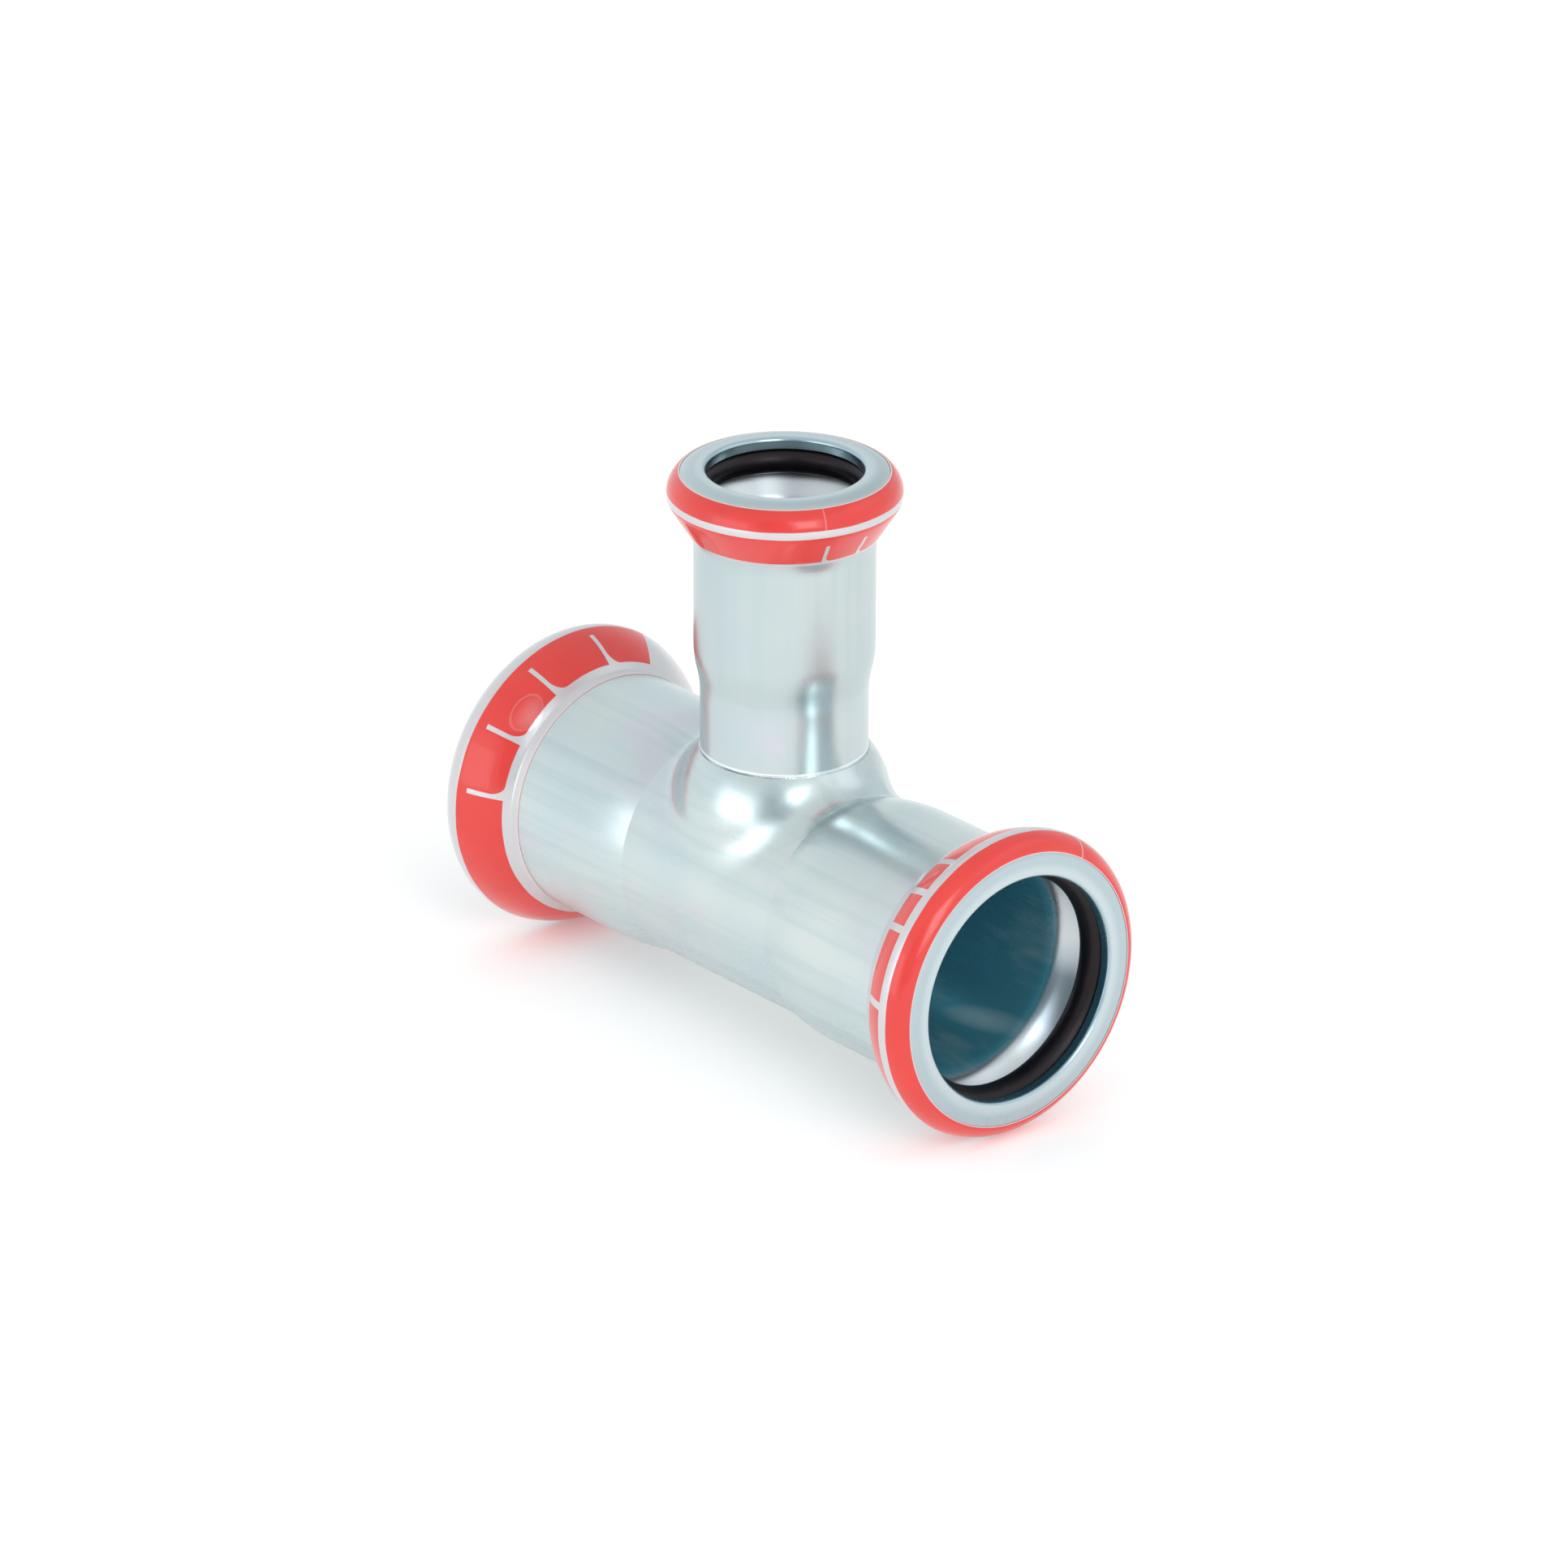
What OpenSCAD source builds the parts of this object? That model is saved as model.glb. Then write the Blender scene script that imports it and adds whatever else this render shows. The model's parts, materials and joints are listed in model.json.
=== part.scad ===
// Reducing press tee. A formed steel run has a collar drawn out of its middle, and a
// smaller press socket is welded to that collar. Each of the three sockets holds a rubber
// seal ring in its bead and wears a printed film band over it.
// Units are millimetres. The run lies along X, the branch stands along +Z, and the origin
// is where the two centre lines cross.

/* [Pipes] */
// Bore of the two run sockets, for a 22 mm pipe
run_bore = 22.4; // [21.6:0.1:25]
// Bore of the branch socket, for a 15 mm pipe
branch_bore = 15.2; // [14.6:0.1:18]
// Waterway of the run between its two pipe stops
run_waterway = 21; // [19.6:0.1:21.4]
// Waterway of the collar's top and the neck
branch_waterway = 13.9; // [12:0.1:14.4]

/* [Body] */
// Wall of the run, the collar, the neck and the sockets
wall = 1.5; // [1.2:0.05:2]
// Wall of a bead, thinned where it is rolled
bead_wall = 1.2; // [0.9:0.05:1.4]
// Centre line of the branch to the mouth of a run socket
run_reach = 36; // [34:0.1:60]
// Centre line of the run to the mouth of the branch socket
branch_reach = 44.3; // [41:0.1:70]
// Depth of a run socket from its mouth to the pipe stop
run_socket_depth = 18.9; // [15:0.1:20]
// Depth of the branch socket from its mouth to the pipe stop
branch_socket_depth = 18.6; // [14:0.1:22]
// Length of the step down from a run socket to the waterway
run_step = 5.9; // [3:0.1:7]
// Length of the step down from the branch socket to the neck
branch_step = 5.4; // [3:0.1:7]

/* [Run beads] */
// Height of the bead over the socket
run_rise = 3.15; // [2.8:0.05:3.6]
// Radius of the rolled nose
run_nose = 2.45; // [2.2:0.05:2.8]
// Radius just behind the crown
run_shoulder = 2; // [1.6:0.05:2.1]
// Slope at which the shoulder turns into the back, in degrees
run_slope = 14; // [8:1:20]
// Radius of the rounded back
run_back = 9.85; // [8:0.05:12]
// Fillet between the back and the socket
run_foot = 0.6; // [0.3:0.05:1.2]
// How much wider the mouth is than the bore, on the radius
run_lead_in = 0.53; // [0.2:0.01:0.7]

/* [Branch bead] */
// Height of the bead over the socket
branch_rise = 2.55; // [2.2:0.05:3]
// Radius of the rolled nose
branch_nose = 2.67; // [2.3:0.01:2.9]
// Radius just behind the crown
branch_shoulder = 1.65; // [1.45:0.05:2.2]
// Slope at which the shoulder turns into the back, in degrees
branch_slope = 31; // [26:1:36]
// Radius of the nearly straight back
branch_back = 60; // [40:1:90]
// Fillet between the back and the socket
branch_foot = 4.15; // [2:0.05:5]
// How much wider the mouth is than the bore, on the radius
branch_lead_in = 0.27; // [0.1:0.01:0.5]

/* [Mouths] */
// Rounding of each mouth's edge
mouth_round = 0.45; // [0.2:0.05:0.6]

/* [Drawn collar] */
// Outer radius of the collar where it leaves the run
collar_radius = 10.8; // [9.8:0.1:11.1]
// Height at which the collar starts to close in on the neck
collar_shoulder = 8.4; // [7:0.1:10]
// Height of the weld between collar and neck
weld_height = 14.5; // [14:0.1:16]
// Width of the weld
weld_width = 0.4; // [0.2:0.05:0.8]
// How far the weld stands out of the steel
weld_proud = 0.16; // [0.05:0.01:0.3]
// Rounding between the collar and the run
saddle_fillet = 1.6; // [1:0.1:1.8]

/* [Seal rings] */
// How far a ring stands inside the bore
seal_proud = 0.2; // [0.05:0.01:0.25]
// Room between a ring and its groove
seal_gap = 0.05; // [0.02:0.01:0.2]

/* [Film bands] */
// Thickness of the film
film = 0.15; // [0.08:0.01:0.3]
// Room between the film and the steel
film_gap = 0.01; // [0.01:0.01:0.05]
// Where a run film starts on the nose, out from the flat of the mouth
run_film_start = 0.85; // [0.5:0.05:1.5]
// Where the branch film starts on the nose, out from the flat of the mouth
branch_film_start = 1.5; // [0.8:0.05:1.8]
// How far behind its mouth the front film ends
front_film_end = 7.4; // [6:0.1:10]
// How far behind its mouth the back film ends
back_film_end = 9; // [6:0.1:10]
// How far behind its mouth the branch film ends
branch_film_end = 6.8; // [5:0.1:9]

/* [Hidden] */
$fn = 120;
steel = [0.74, 0.78, 0.80];
rubber = [0.10, 0.09, 0.10];
print_red = [0.86, 0.16, 0.14];

// Arcs cross their neighbours by this much, so that every corner is a clean one
cross = 0.003;
// How far two shapes run into each other where they are joined
lap = 0.3;
// Longer and wider than anything that it cuts
far = 60;

run_r = run_bore / 2;
branch_r = branch_bore / 2;
run_mid = run_waterway / 2 + wall;
neck = branch_waterway / 2 + wall;
run_stop = run_reach - run_socket_depth;
branch_stop = branch_reach - branch_socket_depth;

// Body, groove, seal ring and film of a socket all follow one description of its bead,
// which holds the sizes in the order of the functions below.
run_bead = [run_reach, run_r + wall + run_rise, run_nose, run_shoulder, run_slope, run_back,
    run_foot, run_r, run_lead_in];
branch_bead = [branch_reach, branch_r + wall + branch_rise, branch_nose, branch_shoulder,
    branch_slope, branch_back, branch_foot, branch_r, branch_lead_in];
function mouth(b) = b[0];
function crown(b) = b[1];
function nose(b) = b[2];
function shoulder(b) = b[3];
function slope(b) = b[4];
function back(b) = b[5];
function foot_fillet(b) = b[6];
function bore(b) = b[7];
function lead_in(b) = b[8];
function tube(b) = bore(b) + wall;

// Radius at which the nose leaves the flat of the mouth
function nose_start(b) = crown(b) - nose(b);
// Height of the crown, where nose and shoulder meet
function crown_height(b) = mouth(b) - nose(b);
function shoulder_centre(b) = [crown(b) - shoulder(b), crown_height(b)];
function back_centre(b) = shoulder_centre(b)
    - (back(b) - shoulder(b)) * [cos(slope(b)), -sin(slope(b))];
// Height at which the shoulder turns into the back, on a bead grown by grow
function turn_height(b, grow) = crown_height(b) - (shoulder(b) + grow) * sin(slope(b));
// Height of the centre of a fillet that joins an arc about c to a straight side below it
function fillet_height(c, arc, side, fillet) =
    c[1] - sqrt(pow(arc + fillet, 2) - pow(side + fillet - c[0], 2));
function unit(v) = v / norm(v);

// The fillet between an arc about c and a straight side below it, as a filled profile
module fillet_profile(c, arc, side, fillet, grow = 0) {
    centre = [side + fillet, fillet_height(c, arc, side, fillet)];
    out = unit(centre - c);
    touch = c + (arc + grow) * out;
    inner = touch - lap * out;
    difference() {
        polygon([[side + grow - lap, centre[1]], [side + grow, centre[1]], touch, inner,
            [side + grow - lap, inner[1]]]);
        translate(centre) circle(fillet - grow + 2 * cross);
    }
}

// A bead without its foot, grown outwards by grow, or inwards where grow is negative
module bead_profile(b, grow = 0) {
    centre = shoulder_centre(b);
    turn = turn_height(b, grow);
    low = turn - lap;
    translate([0, low]) square([nose_start(b), mouth(b) + grow - cross - low]);
    translate([0, low]) square([centre[0], crown_height(b) + cross - low]);
    intersection() {
        translate([nose_start(b), crown_height(b)]) circle(nose(b) + grow);
        translate([0, crown_height(b)]) square(far);
    }
    translate(centre) circle(shoulder(b) + grow + cross);
    intersection() {
        translate(back_centre(b)) circle(back(b) + grow - cross);
        translate([0, turn - far]) square(far);
    }
}

// The outside of a socket from its mouth down to low
module socket_outside(b, low, grow = 0) {
    c = back_centre(b);
    foot = fillet_height(c, back(b), tube(b), foot_fillet(b));
    intersection() {
        bead_profile(b, grow);
        translate([0, foot - lap]) square(far);
    }
    fillet_profile(c, back(b), tube(b), foot_fillet(b), grow);
    translate([0, low]) square([tube(b) + grow, turn_height(b, grow) - lap - low]);
}

// The room in a socket above its bore: the mouth with its rounded edge, and the groove
module groove_profile(b) {
    edge = bore(b) + lead_in(b);
    translate([0, mouth(b) - bead_wall - lap]) square([edge, far]);
    difference() {
        translate([edge - lap, mouth(b) - mouth_round])
            square([mouth_round + lap, mouth_round + lap]);
        translate([edge + mouth_round, mouth(b) - mouth_round]) circle(mouth_round + cross);
    }
    bead_profile(b, -bead_wall);
}

// The way through a socket: waterway from low, the step where the pipe stops, and the bore
module waterway_profile(b, low, narrow, step_low, stop) {
    top = mouth(b) - bead_wall - lap;
    polygon([[0, low], [narrow, low], [narrow, step_low], [bore(b), stop], [bore(b), top],
        [0, top]]);
}

// Inner radius of a seal ring, and the radius of its cord: as thick as fits between the
// groove's face, the groove's back and the pipe
function seal_inner(b) = bore(b) - seal_proud;
function seal_cord(b) =
    let (c = back_centre(b),
        p = seal_inner(b) - c[0],
        q = bead_wall + seal_gap - (mouth(b) - c[1]),
        r = back(b) - bead_wall - seal_gap,
        h = p + q + r)
    sqrt(h * h - (p * p + q * q - r * r)) - h;

module seal_ring(b) {
    cord = seal_cord(b);
    rotate_extrude()
        translate([seal_inner(b) + cord, mouth(b) - bead_wall - seal_gap - cord]) circle(cord);
}

// A film band that lies on the bead from start, on the nose, to end, behind the mouth
module indicator_film(b, start, end) {
    low = mouth(b) - end;
    rotate_extrude() intersection() {
        difference() {
            socket_outside(b, low - lap, film_gap + film);
            socket_outside(b, low - 2 * lap, film_gap);
        }
        union() {
            translate([nose_start(b) + start, crown_height(b)]) square(far);
            translate([bore(b), low]) square([far, end - nose(b) / 2]);
        }
    }
}

// An outer step up from a narrow tube: an arc that starts at a crease on the narrow tube
// and runs into the wide one
module creased_step(narrow, wide, low, length) {
    rise = wide + cross - narrow;
    arc = (length * length + rise * rise) / (2 * rise);
    intersection() {
        translate([wide + cross - arc, low + length]) circle(arc);
        translate([0, low - lap]) square([far, length + wall]);
    }
}

// The same step with its crease rounded too
module soft_step(narrow, wide, low, length) {
    rise = wide + cross - narrow;
    arc = (length * length + rise * rise) / (4 * rise);
    centre = [wide + cross - arc, low + length];
    intersection() {
        translate(centre) circle(arc);
        translate([0, low]) square([far, length + wall]);
    }
    fillet_profile(centre, arc, narrow, arc);
}

// Turns a profile about the run's axis, together with its mirror image
module about_run() {
    rotate([0, 90, 0]) rotate_extrude() {
        children();
        mirror([0, 1, 0]) children();
    }
}

module run_outside() {
    step_low = run_stop - run_step;
    socket_outside(run_bead, run_stop);
    creased_step(run_mid, run_r + wall, step_low, run_step);
    translate([0, -lap]) square([run_mid, step_low + 2 * lap]);
}

module run_inside() {
    groove_profile(run_bead);
    waterway_profile(run_bead, -lap, run_waterway / 2, run_stop - run_step, run_stop);
}

// The collar's curve: it leaves its side upright and closes in on the neck at the weld
function collar_arc() =
    let (inward = collar_radius - neck, up = weld_height - collar_shoulder)
    (inward * inward + up * up) / (2 * inward);
module collar_profile(grow = 0) {
    arc = collar_arc();
    square([collar_radius + grow - cross, collar_shoulder]);
    intersection() {
        translate([collar_radius - arc, collar_shoulder]) circle(arc + grow);
        translate([0, collar_shoulder - lap])
            square([far, weld_height - weld_width / 2 - collar_shoulder + lap]);
    }
}

// The saddle between collar and run is a formed bend. A ball of the fillet's radius rolls
// in the corner between them, and these functions follow it round the branch.
// Distance of the ball's centre from the branch's axis at height z
function ball_reach(z) = z < collar_shoulder ? collar_radius + saddle_fillet
    : collar_radius - collar_arc()
        + sqrt(pow(collar_arc() + saddle_fillet, 2) - pow(z - collar_shoulder, 2));
// Height of the ball's centre in direction a, closed in on in n steps
function ball_height(a, z, n) = n == 0 ? z
    : ball_height(a,
        sqrt(pow(run_mid + saddle_fillet, 2) - pow(ball_reach(z) * sin(a), 2)), n - 1);
// A bend's section in direction a: the arc of a radius about the ball between its two
// points of contact, closed at a greater depth
function bend_section(a, radius, depth, steps, sink) =
    let (z = ball_height(a, run_mid, 40),
        reach = ball_reach(z),
        out = [cos(a), sin(a), 0],
        ball = reach * out + [0, 0, z],
        to_run = -unit([0, ball[1], ball[2]]),
        lean = max(z - collar_shoulder, 0),
        to_collar = -unit((reach - collar_radius + collar_arc()) * out + [0, 0, lean]),
        turn = acos(to_run * to_collar),
        side = unit(to_collar - (to_collar * to_run) * to_run),
        arc = [for (i = [0:steps])
            let (t = turn * i / steps, more = i == 0 || i == steps ? sink : 0)
            ball + (radius + more) * (cos(t) * to_run + sin(t) * side)])
    concat(arc, [ball + depth * to_collar, ball + 1.15 * depth * unit(to_run + to_collar),
        ball + depth * to_run]);

// A ring of such sections round the branch
module bend(radius, depth, turns, steps, sink) {
    ring = steps + 4;
    points = [for (i = [0:turns - 1])
        each bend_section((i + 0.5) * 360 / turns, radius, depth, steps, sink)];
    faces = [for (i = [0:turns - 1], j = [0:ring - 1])
        let (a = i * ring, b = (i + 1) % turns * ring, k = (j + 1) % ring)
        each [[a + j, a + k, b + k], [a + j, b + k, b + j]]];
    polyhedron(points, faces, convexity = 6);
}

module run_body() {
    outer = saddle_fillet;
    inner = saddle_fillet + wall;
    color(steel) difference() {
        union() {
            about_run() run_outside();
            rotate([0, 0, 45]) rotate_extrude() collar_profile();
            bend(outer, outer + 0.8 * wall, 72, 6, 0.025);
        }
        about_run() run_inside();
        rotate([0, 0, 45]) rotate_extrude() {
            collar_profile(-wall);
            square([branch_waterway / 2, weld_height]);
        }
        bend(inner, inner + 0.8 * wall, 48, 4, 0.04);
    }
}

module branch_socket() {
    low = weld_height + weld_width / 2;
    step_low = branch_stop - branch_step;
    color(steel) rotate_extrude() difference() {
        union() {
            socket_outside(branch_bead, branch_stop);
            soft_step(neck, branch_r + wall, step_low, branch_step);
            translate([0, low]) square([neck, step_low + branch_step / 2 - low]);
        }
        groove_profile(branch_bead);
        waterway_profile(branch_bead, low - lap, branch_waterway / 2, step_low, branch_stop);
    }
}

module weld_seam() {
    color(steel) rotate_extrude() {
        translate([neck - wall, weld_height - weld_width / 2]) square([wall, weld_width]);
        translate([neck, weld_height]) circle(weld_proud);
    }
}

// Points a piece that is made standing towards the front or the back mouth
module towards_front() { rotate([0, 90, 0]) children(); }
module towards_back() { rotate([0, -90, 0]) children(); }

module seal_ring_front() { color(rubber) towards_front() seal_ring(run_bead); }
module seal_ring_back() { color(rubber) towards_back() seal_ring(run_bead); }
module seal_ring_branch() { color(rubber) seal_ring(branch_bead); }

module indicator_film_front() {
    color(print_red) towards_front()
        indicator_film(run_bead, run_film_start, front_film_end);
}
module indicator_film_back() {
    color(print_red) towards_back()
        indicator_film(run_bead, run_film_start, back_film_end);
}
module indicator_film_branch() {
    color(print_red) indicator_film(branch_bead, branch_film_start, branch_film_end);
}

run_body();
branch_socket();
weld_seam();
seal_ring_front();
seal_ring_back();
seal_ring_branch();
indicator_film_front();
indicator_film_back();
indicator_film_branch();
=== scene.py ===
"""Studio scene of a reducing press tee.

A formed steel run has a collar drawn out of its middle, and a smaller press socket is
welded to that collar. Each socket holds a rubber seal ring in its rolled bead and wears a
printed film band over it. Sizes are in millimetres until a finished mesh is scaled down
to metres, with the run along X, the branch along +Z and the origin where they cross.
"""
from __future__ import annotations

import json
import logging
import math
from dataclasses import dataclass, field
from enum import Enum
from typing import Sequence

import bmesh
import bpy
from mathutils import Matrix, Vector

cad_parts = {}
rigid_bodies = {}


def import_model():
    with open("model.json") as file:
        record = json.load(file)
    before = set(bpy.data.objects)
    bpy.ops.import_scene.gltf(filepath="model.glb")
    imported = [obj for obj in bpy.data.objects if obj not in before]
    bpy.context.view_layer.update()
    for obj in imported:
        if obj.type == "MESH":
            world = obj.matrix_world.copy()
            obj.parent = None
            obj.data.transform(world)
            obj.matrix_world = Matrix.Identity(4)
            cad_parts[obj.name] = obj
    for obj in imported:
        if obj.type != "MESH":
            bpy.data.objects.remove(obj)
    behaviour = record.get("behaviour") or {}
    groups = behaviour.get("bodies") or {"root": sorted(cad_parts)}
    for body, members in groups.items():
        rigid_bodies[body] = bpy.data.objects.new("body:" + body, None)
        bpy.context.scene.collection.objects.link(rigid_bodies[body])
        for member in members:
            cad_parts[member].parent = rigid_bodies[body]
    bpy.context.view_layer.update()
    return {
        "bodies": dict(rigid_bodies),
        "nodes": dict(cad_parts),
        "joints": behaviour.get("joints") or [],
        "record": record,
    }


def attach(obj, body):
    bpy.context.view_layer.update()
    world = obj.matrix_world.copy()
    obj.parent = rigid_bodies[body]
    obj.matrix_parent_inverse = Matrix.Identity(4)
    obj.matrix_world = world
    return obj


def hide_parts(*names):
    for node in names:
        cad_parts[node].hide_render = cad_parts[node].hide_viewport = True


log = logging.getLogger("press_tee")

Point = tuple[float, float]
Colour = tuple[float, float, float]

MM = 0.001
PER_METRE = 1000.0
TURNS = 192
FINE, MEDIUM = 2.5, 6.0
DOUBLES = 0.0005
SOFT_CREASE, CLEAR_CREASE = 11.0, 40.0

WALL = 1.5
RUN_WATERWAY = 10.5
RUN_STOP = 17.1
RUN_STEP = 5.9
BRANCH_WATERWAY = 6.95
BRANCH_STOP = 25.7
BRANCH_STEP = 5.4
WELD_HEIGHT = 14.5
WELD_WIDTH = 0.4


class Axis(Enum):
    """The two centre lines that a turned piece can have."""

    RUN = "run"
    BRANCH = "branch"

    def place(self, point: Point) -> Vector:
        """Put a (radius, height) point into space, in the half plane that is spun."""
        if self is Axis.RUN:
            return Vector((point[1], 0.0, point[0]))
        return Vector((point[0], 0.0, point[1]))

    @property
    def direction(self) -> tuple[float, float, float]:
        """Unit vector along the centre line."""
        return (1.0, 0.0, 0.0) if self is Axis.RUN else (0.0, 0.0, 1.0)


class Mouth(Enum):
    """The three mouths of the tee."""

    FRONT = "front"
    BACK = "back"
    BRANCH = "branch"


def arc(centre: Point, radius: float, start: float, end: float, step: float = 7.5) -> list[Point]:
    """Lay points on an arc, with both ends.

    Args:
        centre: Centre of the arc as (radius, height).
        radius: Radius of the arc.
        start: First angle in degrees, from the outward direction.
        end: Last angle in degrees.
        step: Widest angle between two points.

    Returns:
        The points from the first angle to the last.
    """
    count = max(1, math.ceil(abs(end - start) / step))
    angles = [math.radians(start + (end - start) * i / count) for i in range(count + 1)]
    return [(centre[0] + radius * math.cos(a), centre[1] + radius * math.sin(a))
            for a in angles]


def cut_at(path: Sequence[Point], low: float) -> list[Point]:
    """Keep a falling path down to a height, with its last point exactly there.

    Args:
        path: Points whose heights fall.
        low: Height at which the path is cut.

    Returns:
        The upper part of the path.
    """
    kept: list[Point] = []
    for here, there in zip(path, path[1:]):
        kept.append(here)
        if there[1] < low:
            share = (here[1] - low) / (here[1] - there[1])
            kept.append((here[0] + share * (there[0] - here[0]), low))
            break
    return kept


@dataclass(frozen=True)
class Socket:
    """Sizes of one press socket, and the contours that follow from them."""

    mouth: float
    bore: float
    rise: float
    nose: float
    shoulder: float
    slope: float
    back: float
    foot: float
    lead_in: float
    lip: float
    wall: float = WALL
    bead_wall: float = 1.2
    mouth_round: float = 0.45

    @property
    def tube(self) -> float:
        """Outer radius of the socket behind its bead."""
        return self.bore + self.wall

    @property
    def nose_centre(self) -> Point:
        """Centre of the rolled nose."""
        return (self.tube + self.rise - self.nose, self.mouth - self.nose)

    @property
    def shoulder_centre(self) -> Point:
        """Centre of the tight curve behind the crown."""
        return (self.tube + self.rise - self.shoulder, self.mouth - self.nose)

    @property
    def back_centre(self) -> Point:
        """Centre of the wide curve that is the back of the bead."""
        turn = math.radians(self.slope)
        reach = self.back - self.shoulder
        centre = self.shoulder_centre
        return (centre[0] - reach * math.cos(turn), centre[1] + reach * math.sin(turn))

    @property
    def foot_centre(self) -> Point:
        """Centre of the fillet between the back and the socket."""
        centre = self.back_centre
        across = self.tube + self.foot - centre[0]
        fall = math.sqrt((self.back + self.foot) ** 2 - across ** 2)
        return (self.tube + self.foot, centre[1] - fall)

    def outside(self, low: float, grow: float = 0.0, start: float = 0.0) -> list[Point]:
        """Follow the bead from the flat of the mouth down to a height.

        Args:
            low: Height at which the contour ends.
            grow: How far the contour lies outside the steel.
            start: Where on the nose it starts, out from the flat of the mouth.

        Returns:
            The points of the contour, from the mouth down.
        """
        back, foot = self.back_centre, self.foot_centre
        touch = math.degrees(math.atan2(foot[1] - back[1], foot[0] - back[0]))
        first = math.degrees(math.acos(start / (self.nose + grow)))
        path = arc(self.nose_centre, self.nose + grow, first, 0.0, MEDIUM)
        path += arc(self.shoulder_centre, self.shoulder + grow, 0.0, -self.slope, MEDIUM)
        path += arc(back, self.back + grow, -self.slope, touch, FINE)
        path += arc(foot, self.foot - grow, touch + 180.0, 180.0)
        path.append((self.tube + grow, low - 1.0))
        return cut_at(path, low)

    def inside(self, narrow: float, step_low: float, stop: float) -> list[Point]:
        """Follow the room inside, from the waterway up to the flat of the mouth.

        Args:
            narrow: Radius of the waterway.
            step_low: Height at which the waterway starts to widen.
            stop: Height of the pipe stop.

        Returns:
            The points of the contour, from the waterway up.
        """
        edge = self.bore + self.lead_in
        back = self.back_centre
        groove = self.back - self.bead_wall
        meet = math.degrees(math.acos((self.bore + self.lip - back[0]) / (groove + self.lip)))
        fall = (groove + self.lip) * math.sin(math.radians(meet))
        path = [(narrow, step_low), (self.bore, stop)]
        path += arc((self.bore + self.lip, back[1] - fall), self.lip, 180.0, 180.0 - meet, 4.0)
        path += arc(back, groove, -meet, -self.slope, FINE)
        path += arc(self.shoulder_centre, self.shoulder - self.bead_wall, -self.slope, 0.0)
        path += arc(self.nose_centre, self.nose - self.bead_wall, 0.0, 90.0)
        path.append((edge, self.mouth - self.bead_wall))
        rounding = (edge + self.mouth_round, self.mouth - self.mouth_round)
        return path + arc(rounding, self.mouth_round, 180.0, 90.0)


RUN_SOCKET = Socket(mouth=36.0, bore=11.2, rise=3.15, nose=2.45, shoulder=2.0, slope=14.0,
                    back=9.85, foot=0.6, lead_in=0.53, lip=3.0)
BRANCH_SOCKET = Socket(mouth=44.3, bore=7.6, rise=2.55, nose=2.67, shoulder=1.65, slope=31.0,
                       back=60.0, foot=4.15, lead_in=0.27, lip=4.0)


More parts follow.
